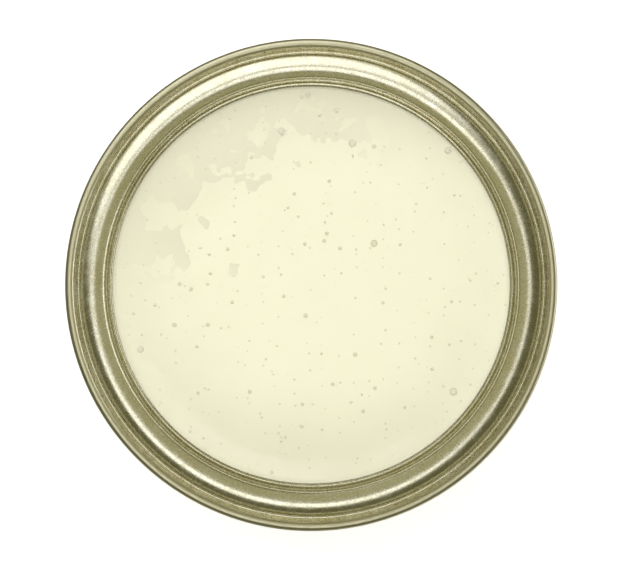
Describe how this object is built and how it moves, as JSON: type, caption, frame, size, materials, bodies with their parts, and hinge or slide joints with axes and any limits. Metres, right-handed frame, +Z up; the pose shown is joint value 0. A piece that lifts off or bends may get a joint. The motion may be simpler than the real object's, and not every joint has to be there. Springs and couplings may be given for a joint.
{
  "type": "shoe polish tin",
  "caption": "Round, squat lever-lid tinplate tin with its lid off, double-seamed ring and base, filled with pale cream polish.",
  "frame": {"origin": "on the tin's axis, in the plane of the surface that it stands on", "axes": "+Z up along the tin's axis, out of its mouth; +X and +Y are any two square directions across the round tin"},
  "size_m": [0.1112, 0.1112, 0.066],
  "materials": {
    "body_tinplate": "gold-lacquered tinplate",
    "base_tinplate": "gold-lacquered tinplate",
    "ring_tinplate": "bright gold-lacquered tinplate",
    "lining_compound": "matt water-based can lining compound",
    "cream_polish": "glossy pale cream polish with fine air bubbles"
  },
  "bodies": {
    "root": {"body_shell": "body_tinplate", "base_end": "base_tinplate", "lever_ring": "ring_tinplate", "ring_seam_compound": "lining_compound", "base_seam_compound": "lining_compound", "contents": "cream_polish"}
  },
  "joints": []
}
